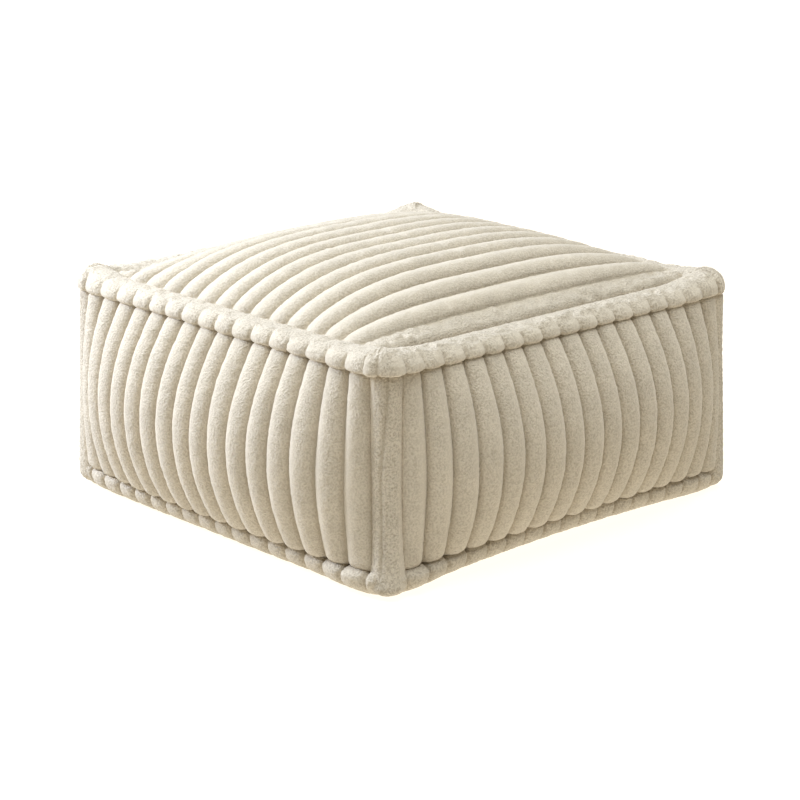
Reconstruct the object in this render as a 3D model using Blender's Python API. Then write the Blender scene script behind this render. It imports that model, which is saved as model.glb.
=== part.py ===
"""A ribbed plush sofa ottoman: one filled box cushion with a rolled, stitched edge along all twelve sides.

The cushion's four sides have upright ribs and its top has ribs along X. The stitches draw it in along
its edges, where a stuffed roll lies. +Z is up, and the origin is on the floor under the middle.
"""

import math

import bmesh
import bpy

# Driving sizes, in metres.
WIDTH = 0.741  # X, between the top stitch lines of two opposite sides
DEPTH = 0.725  # Y, the same
SIDE_HEIGHT = 0.290  # from the bottom stitch line to the top one
BOTTOM_STITCH_Z = 0.036
TOP_STITCH_Z = BOTTOM_STITCH_Z + SIDE_HEIGHT
CORNER = 0.0275  # a side's ribs stop this far short of the box's corner
GAP = 0.0003  # between two pieces
MERGE = 1e-6  # points closer than this are one

RIBS_WIDE = 17  # on the sides that run along X
RIBS_DEEP = 16  # on the sides that run along Y
RIBS_TOP = 15
RIB_HEIGHT = 0.0125
RIB_FULLNESS = 2.6  # over 2, a rib keeps its height further across
RIB_STEEPNESS = 0.6  # under 1, the channel between two ribs is narrow
RIB_FADE = 8  # the higher it is, the closer to its ends a rib keeps its height
RIB_CUTS = 3  # mesh columns for each rib
SIDE_ROWS = 7

SIDE_BULGE = 0.052  # how far the filling pushes a side out at half height
SIDE_FULLNESS = 3.7  # over 2, a side is flat in its middle and turns in near its corners
BOTTOM_FLARE = 0.0075  # how far out the bottom stitch line is from the top one, on every side
BOTTOM_BOW = 0.016  # how much further out it is at mid side
SIDE_SPREAD = 0.010  # how far the ribs near a corner lean towards it
SPREAD_GROWTH = 1.3
SPREAD_FADE = 10

ROLL_WIDTH = 0.055  # of a horizontal roll, from the stitch line inwards
ROLL_OVERHANG = 0.004  # past the stitch line, outwards
ROLL_RISE = 0.029  # the top roll's height over its stitch line
ROLL_DROP = 0.039  # the bottom roll's depth under its own, before the floor flattens it
ROLL_CUTS = 6  # mesh strips over a roll
CORNER_CUTS = 3  # mesh columns round half a corner
LOBE_DEPTH = 0.0035  # how far a roll is nipped in between two ribs
EAR_RISE = 0.014  # how much higher the top roll stands at a corner
EAR_FLARE = 0.008  # how much further out the top roll reaches there
FOOT_FLARE = 0.015  # and the bottom roll
EAR_REACH = 0.060

POST_INSET = 0.021  # from the box's corner to an upright roll's middle
POST_RADIUS = 0.031
POST_WAIST = 0.0015
POST_CUTS = 7
POST_ROWS = 5

CROWN_FOOT = 0.026  # height of the top's rim over the stitch line
CROWN_RISE = 0.058
CROWN_FULLNESS = (2.45, 3.2)  # along the ribs and across them: over 2, the top is flat in its middle
CROWN_STEEPNESS = (0.52, 1.28)  # the same: under 1, it rises at once from its rim
CROWN_CUTS = 10

# Each side: its name, the direction it faces, the direction it runs in, half its length, how far out
# it is from the middle, and its ribs.
SIDES = [
    {"name": name, "faces": faces, "runs": runs, "half": half, "out": out, "ribs": ribs}
    for name, faces, runs, half, out, ribs in (
        ("front", (0, -1), (1, 0), WIDTH / 2, DEPTH / 2, RIBS_WIDE),
        ("right", (1, 0), (0, 1), DEPTH / 2, WIDTH / 2, RIBS_DEEP),
        ("back", (0, 1), (-1, 0), WIDTH / 2, DEPTH / 2, RIBS_WIDE),
        ("left", (-1, 0), (0, -1), DEPTH / 2, WIDTH / 2, RIBS_DEEP),
    )
]

# Each corner: its name and the direction from the middle to it.
CORNERS = (
    ("front_left", (-1, -1)),
    ("front_right", (1, -1)),
    ("back_right", (1, 1)),
    ("back_left", (-1, 1)),
)


def clear_scene():
    for old in list(bpy.data.objects):
        bpy.data.objects.remove(old, do_unlink=True)


def plush(name, colour):
    material = bpy.data.materials.new(name)
    material.use_nodes = True
    shader = material.node_tree.nodes["Principled BSDF"]
    shader.inputs["Base Color"].default_value = (*colour, 1.0)
    shader.inputs["Roughness"].default_value = 0.95
    shader.inputs["Metallic"].default_value = 0.0
    return material


def finish(mesh, name, material):
    """Turns a bmesh into a named, smooth-shaded object whose faces point out."""
    bmesh.ops.remove_doubles(mesh, verts=mesh.verts, dist=MERGE)
    bmesh.ops.dissolve_degenerate(mesh, edges=mesh.edges, dist=MERGE)
    bmesh.ops.recalc_face_normals(mesh, faces=mesh.faces)
    bmesh.ops.triangulate(mesh, faces=mesh.faces)
    data = bpy.data.meshes.new(name)
    mesh.to_mesh(data)
    mesh.free()
    data.materials.append(material)
    data.shade_smooth()
    data.set_sharp_from_angle(angle=math.radians(80))
    piece = bpy.data.objects.new(name, data)
    bpy.context.scene.collection.objects.link(piece)
    return piece


def place(side, along, out, z):
    """The point `along` the side's run and `out` from the object's middle."""
    x = side["runs"][0] * along + side["faces"][0] * out
    y = side["runs"][1] * along + side["faces"][1] * out
    return (x, y, z)


def loop_of(mesh, points):
    return [mesh.verts.new(point) for point in points]


def join_loops(mesh, lower, upper):
    """Quads between two closed loops of as many points."""
    for i in range(len(lower)):
        j = (i + 1) % len(lower)
        mesh.faces.new((lower[i], lower[j], upper[j], upper[i]))


def fill_ring(mesh, outer, inner):
    """Triangles over the flat ring between two closed loops."""
    edges = []
    for loop in (outer, inner):
        for i, corner in enumerate(loop):
            after = loop[(i + 1) % len(loop)]
            edges.append(mesh.edges.get((corner, after)) or mesh.edges.new((corner, after)))
    bmesh.ops.triangle_fill(mesh, use_beauty=False, edges=edges)


def rib_profile(position):
    """Height of a rib, from 0 to 1, where a whole number is a channel between two ribs."""
    across = 2 * (position - math.floor(position)) - 1
    return (1 - abs(across) ** RIB_FULLNESS) ** RIB_STEEPNESS


def rib_length_share(position):
    """How much of its height a rib keeps at a place from -1, one end, to 1, the other."""
    return 1 - position**RIB_FADE


def side_point(side, across, t):
    """A point of a ribbed side: across runs from -1 to 1, and t from the bottom stitch line to the top."""
    arch = 4 * t * (1 - t)
    low = 1 - t
    out = side["out"] + low * (BOTTOM_FLARE + BOTTOM_BOW * (1 - across**2))
    out += SIDE_BULGE * (1 - abs(across) ** SIDE_FULLNESS) * arch
    out += RIB_HEIGHT * rib_profile((across + 1) / 2 * side["ribs"]) * rib_length_share(2 * t - 1)
    lean = math.copysign(abs(across) ** SPREAD_GROWTH, across) * (1 - abs(across) ** SPREAD_FADE)
    along = across * (side["half"] - CORNER + BOTTOM_FLARE * low) + SIDE_SPREAD * lean * arch
    return place(side, along, out, BOTTOM_STITCH_Z + SIDE_HEIGHT * t)


def side_loop(row):
    """One loop round all four sides. The straight steps between them are the cut corners."""
    t = (1 - math.cos(math.pi * row / SIDE_ROWS)) / 2
    points = []
    for side in SIDES:
        columns = side["ribs"] * RIB_CUTS
        for column in range(columns + 1):
            points.append(side_point(side, 2 * column / columns - 1, t))
    return points


def crown_share(across, axis):
    """How much of its rise the crown has, from 0 at its rim to 1 in its middle, along one axis."""
    return max(0.0, 1 - abs(across) ** CROWN_FULLNESS[axis]) ** CROWN_STEEPNESS[axis]


def crown_point(column, row):
    """A point of the ribbed top, whose ribs run along X."""
    across_x = -math.cos(math.pi * column / CROWN_CUTS)
    across_y = 2 * row / (RIBS_TOP * RIB_CUTS) - 1
    x = across_x * (WIDTH / 2 - ROLL_WIDTH - GAP)
    y = across_y * (DEPTH / 2 - ROLL_WIDTH - GAP)
    z = TOP_STITCH_Z + CROWN_FOOT
    z += CROWN_RISE * crown_share(across_x, 0) * crown_share(across_y, 1)
    z += RIB_HEIGHT * rib_profile(row / RIB_CUTS) * rib_length_share(across_x) * rib_length_share(across_y)
    return (x, y, z)


def build_cushion(material):
    """The filled cushion: ribbed sides, the flat seats of the rolls, the ribbed crown and the flat base."""
    mesh = bmesh.new()
    loops = [loop_of(mesh, side_loop(row)) for row in range(SIDE_ROWS + 1)]
    for lower, upper in zip(loops, loops[1:]):
        join_loops(mesh, lower, upper)

    rows = RIBS_TOP * RIB_CUTS
    grid = [[mesh.verts.new(crown_point(i, j)) for j in range(rows + 1)] for i in range(CROWN_CUTS + 1)]
    for i in range(CROWN_CUTS):
        for j in range(rows):
            mesh.faces.new((grid[i][j], grid[i + 1][j], grid[i + 1][j + 1], grid[i][j + 1]))
    rim = [grid[i][0] for i in range(CROWN_CUTS)]
    rim += [grid[CROWN_CUTS][j] for j in range(rows)]
    rim += [grid[i][rows] for i in range(CROWN_CUTS, 0, -1)]
    rim += [grid[0][j] for j in range(rows, 0, -1)]
    foot = loop_of(mesh, [(v.co.x, v.co.y, TOP_STITCH_Z) for v in rim])
    join_loops(mesh, foot, rim)
    fill_ring(mesh, loops[-1], foot)

    half_x = WIDTH / 2 - ROLL_WIDTH - GAP
    half_y = DEPTH / 2 - ROLL_WIDTH - GAP
    corners = [(half_x * x, half_y * y) for _, (x, y) in CORNERS]
    waist = loop_of(mesh, [(x, y, BOTTOM_STITCH_Z) for x, y in corners])
    base = loop_of(mesh, [(x, y, 0.0) for x, y in corners])
    join_loops(mesh, base, waist)
    mesh.faces.new(base)
    fill_ring(mesh, loops[0], waist)
    return finish(mesh, "filled_cushion", material)


def corner_closeness(x, y):
    """1 at one of the box's corners, falling smoothly to 0 away from it."""
    distance = math.hypot(WIDTH / 2 - abs(x), DEPTH / 2 - abs(y))
    return math.exp(-((distance / EAR_REACH) ** 2))


def roll_column(side, step, steps):
    """Where a mesh column meets the roll: (across, turn, lobe). turn is the angle round the corner."""
    if step < CORNER_CUTS:
        return -1.0, -math.pi / 4 * (1 - step / CORNER_CUTS), 0.0
    if step > steps - CORNER_CUTS:
        return 1.0, math.pi / 4 * (step - steps + CORNER_CUTS) / CORNER_CUTS, 0.0
    ribs_passed = (step - CORNER_CUTS) / 2
    return 2 * ribs_passed / side["ribs"] - 1, 0.0, rib_profile(ribs_passed)


def roll_point(side, across, turn, inset, z):
    """A point of a horizontal roll, inset from the stitch line. Lines over CORNER from it meet in a mitre."""
    radius = max(CORNER - inset, 0.0)
    along = across * (side["half"] - max(CORNER, inset)) + radius * math.sin(turn)
    out = side["out"] - max(CORNER, inset) + radius * math.cos(turn)
    return place(side, along, out + GAP, z)


def roll_section(top):
    """The roll's outline as (inset, height from the stitch line, how far it faces out), outside first."""
    flare = 0.0 if top else BOTTOM_FLARE
    reach = ROLL_WIDTH + ROLL_OVERHANG + flare
    outline = []
    for cut in range(ROLL_CUTS + 1):
        turn = math.pi * cut / ROLL_CUTS
        inset = reach * (1 - math.cos(turn)) / 2 - ROLL_OVERHANG - flare
        height = ROLL_RISE * math.sin(turn) if top else -ROLL_DROP * math.sin(turn)
        outline.append((inset, height, max(0.0, math.cos(turn))))
    return outline


def build_roll(side, top, material):
    """One horizontal roll, between the mitres at its two corners."""
    stitch = TOP_STITCH_Z + GAP / 2 if top else BOTTOM_STITCH_Z - GAP / 2
    rise_at_ear = EAR_RISE / ROLL_RISE if top else 0.0
    flare = EAR_FLARE if top else FOOT_FLARE
    bow = 0.0 if top else BOTTOM_BOW
    steps = 2 * side["ribs"] + 2 * CORNER_CUTS
    mesh = bmesh.new()
    loops = []
    for step in range(steps + 1):
        across, turn, lobe = roll_column(side, step, steps)
        points = []
        for inset, height, outward in roll_section(top):
            x, y, _ = roll_point(side, across, turn, inset, stitch)
            near = corner_closeness(x, y)
            nip = LOBE_DEPTH * (1 - lobe) * (1 - near)
            inset += outward * (nip - flare * near - bow * (1 - across**2))
            z = stitch + height * (1 + rise_at_ear * near)
            points.append(roll_point(side, across, turn, inset, max(0.0, z)))
        loops.append(loop_of(mesh, points))
    for here, after in zip(loops, loops[1:]):
        join_loops(mesh, here, after)
    mesh.faces.new(loops[0])
    mesh.faces.new(loops[-1])
    level = "top" if top else "bottom"
    return finish(mesh, f"{level}_roll_{side['name']}", material)


def build_post(name, corner, material):
    """One upright corner roll, flat where it lies against the cushion's cut corner."""
    start = math.atan2(CORNER - POST_INSET, -POST_INSET)
    turn = 2 * (math.radians(225) - start)  # 225 degrees points at the box's corner
    edge = math.hypot(CORNER - POST_INSET, POST_INSET)
    mesh = bmesh.new()
    loops = []
    for row in range(POST_ROWS + 1):
        t = row / POST_ROWS
        middle = POST_INSET - GAP - BOTTOM_FLARE * (1 - t)
        widest = POST_RADIUS - POST_WAIST * math.sin(math.pi * t)
        z = BOTTOM_STITCH_Z + GAP / 2 + (SIDE_HEIGHT - GAP) * t
        points = []
        for cut in range(POST_CUTS + 1):
            share = cut / POST_CUTS
            swell = math.sqrt(math.sin(math.pi * share)) if 0 < cut < POST_CUTS else 0.0
            radius = edge + (widest - edge) * swell
            angle = start + turn * share
            x = WIDTH / 2 - middle - radius * math.cos(angle)
            y = DEPTH / 2 - middle - radius * math.sin(angle)
            points.append((corner[0] * x, corner[1] * y, z))
        loops.append(loop_of(mesh, points))
    for lower, upper in zip(loops, loops[1:]):
        join_loops(mesh, lower, upper)
    mesh.faces.new(loops[0])
    mesh.faces.new(loops[-1])
    return finish(mesh, f"corner_roll_{name}", material)


def main():
    clear_scene()
    cream = plush("cream_plush", (0.74, 0.68, 0.56))
    cream_roll = plush("cream_plush_edging", (0.76, 0.70, 0.58))
    build_cushion(cream)
    for side in SIDES:
        build_roll(side, True, cream_roll)
        build_roll(side, False, cream_roll)
    for name, corner in CORNERS:
        build_post(name, corner, cream_roll)


main()
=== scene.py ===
# %% [markdown]
# # A ribbed plush sofa ottoman
# The real object is one stuffed cushion: four upholstered sides with upright ribs, and a top with ribs that
# lie along X. Stuffed rolls are sewn along all twelve edges. The eight level ones are nipped in by the
# stitches that make the channels, and the four upright ones at the corners are plain.
# The shape comes from the imported model, so the first step loads it.

# %% Load the frame
import math

import bpy
import numpy as np
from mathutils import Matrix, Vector


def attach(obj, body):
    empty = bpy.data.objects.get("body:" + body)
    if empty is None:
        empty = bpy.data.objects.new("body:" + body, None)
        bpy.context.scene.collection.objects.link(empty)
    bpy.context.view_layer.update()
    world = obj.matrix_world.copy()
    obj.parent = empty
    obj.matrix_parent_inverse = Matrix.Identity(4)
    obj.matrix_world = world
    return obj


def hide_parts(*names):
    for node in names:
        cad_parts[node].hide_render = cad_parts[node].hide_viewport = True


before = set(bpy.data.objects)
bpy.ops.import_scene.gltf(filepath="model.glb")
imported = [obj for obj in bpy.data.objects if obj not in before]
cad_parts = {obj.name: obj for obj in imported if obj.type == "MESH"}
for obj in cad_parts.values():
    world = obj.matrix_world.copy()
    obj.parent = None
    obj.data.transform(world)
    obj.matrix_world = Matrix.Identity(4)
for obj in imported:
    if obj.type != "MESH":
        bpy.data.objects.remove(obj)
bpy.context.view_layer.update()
scene = bpy.context.scene

# %% [markdown]
# The driving sizes are the model's own, in metres. The stitch lines form a box, 741 x 725 x 290 mm, and
# everything else is placed from it: ribs swell out of it, and the rolls sit on its edges.

# %% Driving sizes
WIDTH, DEPTH = 0.741, 0.725
BOTTOM_STITCH_Z, SIDE_HEIGHT = 0.036, 0.290
TOP_STITCH_Z = BOTTOM_STITCH_Z + SIDE_HEIGHT
CORNER = 0.0275  # the radius of the box's corners, seen from above
RIB_HEIGHT = 0.0125
ROLL_WIDTH = 0.055
PER_RIB = 8  # mesh columns across one rib

# Each side has half its length, its distance from the middle, its ribs, how far its first and last channels
# are from its ends, how far its lower edge arches up in the middle, and a seed for its unevenness.
LIKE_FRONT = {
    "half": WIDTH / 2,
    "out": DEPTH / 2,
    "ribs": 17,
    "ends": (0.0318, 0.0244),
    "arch": 0.012,
    "seed": 3,
}
LIKE_LEFT = {
    "half": DEPTH / 2,
    "out": WIDTH / 2,
    "ribs": 16,
    "ends": (0.0313, 0.0228),
    "arch": 0.0,
    "seed": 5,
}
SIDES = {
    "front": {"faces": np.array((0, -1)), "runs": np.array((1, 0)), **LIKE_FRONT},
    "right": {"faces": np.array((1, 0)), "runs": np.array((0, 1)), **LIKE_LEFT},
    "back": {"faces": np.array((0, 1)), "runs": np.array((-1, 0)), **LIKE_FRONT},
    "left": {"faces": np.array((-1, 0)), "runs": np.array((0, -1)), **LIKE_LEFT},
}
print("Stitched box:", WIDTH, DEPTH, SIDE_HEIGHT)

# %% [markdown]
# Sewing is never quite even. Each channel lands a little off its mark, so the places of the channels are
# drawn from a seeded random generator, which gives the same ottoman on every run.

# %% Where the channels run
UNEVEN_SIDES, UNEVEN_TOP = 0.045, 0.03  # how much the widths of the ribs differ


def channel_places(length, ribs, ends, unevenness, seed):
    """The places of the channels along a length, from its middle."""
    widths = 1 + unevenness * np.random.default_rng(seed).uniform(-1, 1, ribs)
    shares = np.concatenate(([0.0], np.cumsum(widths))) / widths.sum()
    return -length / 2 + ends[0] + (length - ends[0] - ends[1]) * shares


for side in SIDES.values():
    length = 2 * side["half"]
    side["channels"] = channel_places(length, side["ribs"], side["ends"], UNEVEN_SIDES, side["seed"])
print("Front channels start at", np.round(SIDES["front"]["channels"][:4], 4))

# %% [markdown]
# Across a rib the plush is stretched over its filling, so the section is round on top and drops steeply
# into the channel. Mesh columns crowd together where it is steep.

# %% The section of a rib
EVEN, CROWDED = 0.45, 0.55  # parts of an even spread and of a crowded one


def crowd(share):
    """Moves evenly spread columns towards the two channels of a rib."""
    return EVEN * share + CROWDED * (1 - np.cos(np.pi * share)) / 2


def rib_round(share, end=0.0, fullness=2.4, steepness=0.6):
    """Height of a rib, from 0 in its channels to 1 on its crest. Its end is rounded off where end nears 1."""
    return np.maximum(0.0, 1 - np.abs(2 * share - 1) ** fullness - end**2.2) ** steepness


def wander(position, seed, terms=3):
    """A smooth random line between about -1 and 1, for seams that wander and ribs that vary."""
    rng = np.random.default_rng(seed)
    waves = []
    for _ in range(terms):
        size = rng.uniform(0.5, 1.0)
        waves.append(size * np.sin(position * rng.uniform(1, 4.5) * np.pi + rng.uniform(0, 6.3)))
    return sum(waves) / terms * 1.4


def wanders(position, count, seed):
    """That many wandering lines, one for each channel or rib."""
    return np.stack([wander(position, seed + k) for k in range(count)])


def smooth_step(value, low, high):
    """Turns smoothly from 0 at low to 1 at high."""
    x = np.clip((value - low) / (high - low), 0, 1)
    return x * x * (3 - 2 * x)


print("A rib stands", RIB_HEIGHT * 1000, "mm proud of its channels")

# %% [markdown]
# Every upholstered face starts as a flat grid primitive. Its columns and rows are then laid over the face,
# which is quicker and tidier than pushing a subdivided block about by hand.

# %% Start a panel from a grid
def set_points(piece, points):
    """Puts the piece's mesh points there."""
    piece.data.vertices.foreach_set("co", np.ascontiguousarray(points, dtype=np.float32).ravel())
    piece.data.update()


def get_points(piece):
    """Where the piece's mesh points are."""
    points = np.empty(len(piece.data.vertices) * 3, dtype=np.float32)
    piece.data.vertices.foreach_get("co", points)
    return points.reshape(-1, 3).astype(float)


def start_grid(name, columns, rows):
    """A new grid with that many faces each way, with the column and the row number of each point."""
    bpy.ops.object.select_all(action="DESELECT")
    bpy.ops.mesh.primitive_grid_add(x_subdivisions=columns, y_subdivisions=rows, size=2, location=(0, 0, 0))
    piece = bpy.context.object
    piece.name = piece.data.name = name
    at = get_points(piece)
    column = np.rint((at[:, 0] + 1) / 2 * columns).astype(int)
    row = np.rint((at[:, 1] + 1) / 2 * rows).astype(int)
    return piece, column, row


def keep_number(piece, name, values):
    """Stores one number for each point, which the finish can read as an attribute."""
    store = piece.data.attributes.new(name, "FLOAT", "POINT")
    store.data.foreach_set("value", np.ascontiguousarray(values, dtype=np.float32))


print("A front panel has", SIDES["front"]["ribs"] * PER_RIB, "columns of faces")

# %% [markdown]
# A side panel is drawn in along its stitch lines and pushed out by the filling in between. It is flat in
# its middle and turns in near its corners, and the ribs there lean towards the corner roll.

# %% Lay a side panel over its face
SIDE_BULGE, SIDE_FULLNESS = 0.052, 3.7
BOTTOM_FLARE, BOTTOM_BOW = 0.0075, 0.013  # how far out the foot stands, at its ends and more in its middle
SIDE_SPREAD, SPREAD_GROWTH, SPREAD_FADE = 0.010, 1.3, 10  # how the ribs lean towards the corners
SIDE_ROWS = 62
PANEL_RISE = 0.005  # how far the side panels run up behind the top roll
RIM = 0.045  # how far a panel runs on past both stitch lines, as a share of its height
TUCK, RIM_RISE = 0.010, 0.003  # how far a rim runs in under a roll, and up or down


def place(side, along, out, z):
    """The points `along` the side's run and `out` from the middle of the object."""
    x = side["runs"][0] * along + side["faces"][0] * out
    y = side["runs"][1] * along + side["faces"][1] * out
    return np.stack([x, y, z], axis=-1)


def side_surface(side, along, t):
    """The side without its ribs. t runs from the bottom stitch line to the top one, and past both."""
    across = np.clip(along / (side["half"] - CORNER), -1, 1)
    inside = np.clip(t, 0, 1)
    tuck = np.abs(t - inside) / RIM
    arch, low = 4 * inside * (1 - inside), 1 - inside
    out = side["out"] + low * (BOTTOM_FLARE + BOTTOM_BOW * (1 - across**2))
    out = out + SIDE_BULGE * (1 - np.abs(across) ** SIDE_FULLNESS) * arch - TUCK * tuck
    lean = np.sign(across) * np.abs(across) ** SPREAD_GROWTH * (1 - np.abs(across) ** SPREAD_FADE)
    along = along * (1 + BOTTOM_FLARE * low / side["half"]) + SIDE_SPREAD * lean * arch
    lift = side["arch"] * (1 - across**2) * low**2
    z = BOTTOM_STITCH_Z + (SIDE_HEIGHT + PANEL_RISE) * inside + lift + RIM_RISE * np.sign(t - inside) * tuck
    return place(side, along, out, z)


def grid_normals(points):
    """The direction that each point of a grid of points faces."""
    normal = np.cross(np.gradient(points, axis=0), np.gradient(points, axis=1))
    return normal / np.linalg.norm(normal, axis=-1, keepdims=True)


print("A side swells out by", SIDE_BULGE * 1000, "mm at half its height")

# %% [markdown]
# A panel is described before it is made: for each point of its grid, where it lies without ribs, how high
# its rib is there, whether it is stitched down, and how its pile lies. One half of each rib is brushed flat,
# so it looks smoother than the other half, and lighter: partly the brushed pile's own colour and partly a
# painted highlight.

# %% Build a ribbed side
RIB_END_LOW, RIB_END_HIGH = 0.010, 0.006  # the length of a rib's rounded ends
CHANNEL_WANDER = 0.0008
RIB_VARIATION = 0.07  # how much a rib's height varies along it
SIDE_RIB_FULLNESS = 3.0
# The brushed half of a rib is also the half that carries the painted highlight.
BRUSHED_FROM, BRUSHED_TO = 0.46, 0.78  # where across a rib the brushed half begins and is full


def build_side(name):
    """A flat grid for a side, with the description of its ribs."""
    side = SIDES[name]
    ribs, seed = side["ribs"], side["seed"]
    columns = ribs * PER_RIB
    piece, column, row = start_grid("cushion_side_" + name, columns, SIDE_ROWS)
    i, j = np.meshgrid(np.arange(columns + 1), np.arange(SIDE_ROWS + 1), indexing="ij")
    rib = np.minimum(i // PER_RIB, ribs - 1)
    share = crowd((i - rib * PER_RIB) / PER_RIB)
    t = j / SIDE_ROWS * (1 + 2 * RIM) - RIM
    inside = np.clip(t, 0, 1)
    up = inside[0]
    drift = CHANNEL_WANDER * wanders(up, ribs + 1, seed * 50) * (4 * up * (1 - up))
    lines = side["channels"][:, None] + drift
    along = lines[rib, j] * (1 - share) + lines[rib + 1, j] * share
    base = side_surface(side, along, t)
    low_end = 1 - SIDE_HEIGHT * inside / RIB_END_LOW
    high_end = 1 - SIDE_HEIGHT * (1 - inside) / RIB_END_HIGH
    end = np.maximum(low_end, high_end).clip(0, 1)
    return {
        "piece": piece,
        "index": (column, row),
        "base": base,
        "normal": grid_normals(base),
        "round": rib_round(share, end, SIDE_RIB_FULLNESS),
        "height": 1 + RIB_VARIATION * wanders(up * 0.7, ribs, seed * 90)[rib, j],
        "channel": (i % PER_RIB == 0) | (j == 0) | (j == SIDE_ROWS),
        "crest": (i % PER_RIB == PER_RIB // 2) & (np.abs(t - 0.5) < 0.3),
        "nap_and_highlight": smooth_step(share if name == "front" else 1 - share, BRUSHED_FROM, BRUSHED_TO),
    }


panels = [build_side("front"), build_side("left")]
print("Side panels:", [len(p["piece"].data.vertices) for p in panels], "points each")

# %% [markdown]
# The top has the same ribs, lying along X. The ribs come out from under the rolls at their two ends, where
# the crown is steep, and the rolls beside them press the first and the last rib flat.

# %% Build the ribbed top
TOP_COLUMNS = 124
TOP_HALF_X, TOP_HALF_Y = WIDTH / 2 - 0.026, DEPTH / 2 - 0.044  # the panel ends under the rolls
TOP_SEED = 11
TOP_CHANNELS = channel_places(DEPTH, 13, (0.0827, 0.0860), UNEVEN_TOP, TOP_SEED)
TOP_LINES = np.concatenate(([-TOP_HALF_Y], TOP_CHANNELS, [TOP_HALF_Y]))
CROWN_FOOT, CROWN_RISE = 0.029, 0.0577
CROWN_DIP, CROWN_SHOULDER = 0.246, 0.878  # how it dips at the ribs' ends, and how soon it rises from there
CROWN_LEFT, CROWN_RIGHT = 3.37, 2.8  # how full the crown is to the left and to the right
CROWN_ACROSS, ACROSS_SHOULDER = 3.2, 1.28
TOP_WANDER = 0.0014
OUTER_RIB, INNER_RIB = 0.38, 0.92  # heights: the rolls press the first and the last rib flat
OUTER_NAP = -0.2  # below 0 the pile is ruffled
OUTER_TUFTS = 0.0024
RIM_DEPTH, RIM_WIDTH = 0.014, 0.010
DIP_BESIDE = 0.3  # how much of the dip is left where the crown has run out across the ribs
RIB_END_LEFT, RIB_END_RIGHT = 0.036, 0.075  # the length of a rib's rounded ends
TUFTED_FROM, TUFTED_FADE = 0.088, 0.008  # the outer ribs are tufted from here, measured from the stitch line


def crown(x, y):
    """Height of the crown over the rolls' crest, without ribs. It dips under the rolls at the ribs' ends."""
    fullness = np.where(x < 0, CROWN_LEFT, CROWN_RIGHT)
    along = np.clip(1 - np.abs(x / TOP_HALF_X) ** fullness, 0, 1) ** CROWN_SHOULDER
    along = (1 + CROWN_DIP) * along - CROWN_DIP
    across = np.clip(1 - np.abs(y / (DEPTH / 2 - ROLL_WIDTH)) ** CROWN_ACROSS, 0, 1) ** ACROSS_SHOULDER
    return CROWN_RISE * along * np.maximum(across, DIP_BESIDE * (along < 0))


def fluff(shape, grain, seed):
    """Small smooth bumps at random, about 1 high, spread over that many rows and columns."""
    bumps = np.random.default_rng(seed).normal(size=shape)
    for _ in range(grain):
        beside = np.roll(bumps, 1, 0) + np.roll(bumps, -1, 0) + np.roll(bumps, 1, 1) + np.roll(bumps, -1, 1)
        bumps = (bumps + beside) / 5
    return bumps / bumps.std()


def build_top():
    """A flat grid for the top, with the description of its ribs."""
    ribs = len(TOP_LINES) - 1
    rows = ribs * PER_RIB
    piece, column, row = start_grid("cushion_top", TOP_COLUMNS, rows)
    i, j = np.meshgrid(np.arange(TOP_COLUMNS + 1), np.arange(rows + 1), indexing="ij")
    rib = np.minimum(j // PER_RIB, ribs - 1)
    outer_rib = (rib == 0) | (rib == ribs - 1)
    share = crowd((j - rib * PER_RIB) / PER_RIB)
    u = i / TOP_COLUMNS * 2 - 1
    u = 0.6 * u + 0.4 * np.sin(u * np.pi / 2)  # more columns at the ribs' ends, where the crown is steep
    x = u * TOP_HALF_X
    beside = (u[:, 0] + 1) / 2
    wobble = wanders(beside, ribs + 1, TOP_SEED * 70)
    wobble[[0, -1]] = 0
    lines = TOP_LINES[:, None] + TOP_WANDER * wobble
    y = lines[rib, i] * (1 - share) + lines[rib + 1, i] * share
    rim = np.clip(1 - (TOP_HALF_Y - np.abs(y)) / RIM_WIDTH, 0, 1)
    tufted = np.clip((np.abs(y) - (DEPTH / 2 - TUFTED_FROM)) / TUFTED_FADE, 0, 1) * (rim < 0.5)
    z = TOP_STITCH_Z + CROWN_FOOT + crown(x, y) - RIM_DEPTH * rim**2
    z = z + OUTER_TUFTS * tufted * rib_round(share) * fluff(x.shape, 1, TOP_SEED)
    base = np.stack([x, y, z], axis=-1)
    height = 1 + RIB_VARIATION * wanders(beside, ribs, TOP_SEED * 90)[rib, i]
    end_length = np.where(x < 0, RIB_END_LEFT, RIB_END_RIGHT)
    end = np.clip(1 - (TOP_HALF_X - np.abs(x)) / end_length, 0, 1)
    return {
        "piece": piece,
        "index": (column, row),
        "base": base,
        "normal": grid_normals(base),
        "round": rib_round(share, end**1.5),
        "height": height * np.where(outer_rib, OUTER_RIB, INNER_RIB),
        "channel": (j % PER_RIB == 0) | (i == 0) | (i == TOP_COLUMNS),
        "crest": (j % PER_RIB == PER_RIB // 2) & (np.abs(u) < 0.7) & ~outer_rib,
        # The far half of each inner rib is brushed and painted lighter, partly a painted highlight; the outer
        # ribs are ruffled.
        "nap_and_highlight": np.where(outer_rib, OUTER_NAP, 0.25 + 0.75 * smooth_step(share, 0.20, 0.60)),
    }


panels.append(build_top())
print("The top panel has", len(panels[-1]["piece"].data.vertices), "points")

# %% [markdown]
# Stuffing is what makes a rib a rib. The panel starts with about half its final swell, its channels are held
# as the stitches hold them, and Cloth with pressure blows the rest out. A cap keeps stray points in place,
# and the swell is scaled to the height that the ribs should have. Cloth alone wrinkles across the ribs, so
# it is mixed with a drawn section, which is smooth.

# %% Blow up the ribs
START_SWELL, CAP = 0.45, 0.025
BLOWN = 0.4  # how much of the finished swell is the cloth's own
LAST_FRAME = 20


def panel_points(panel, values):
    """Values on the panel's grid, in the order of its mesh points."""
    return values[panel["index"]]


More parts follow.
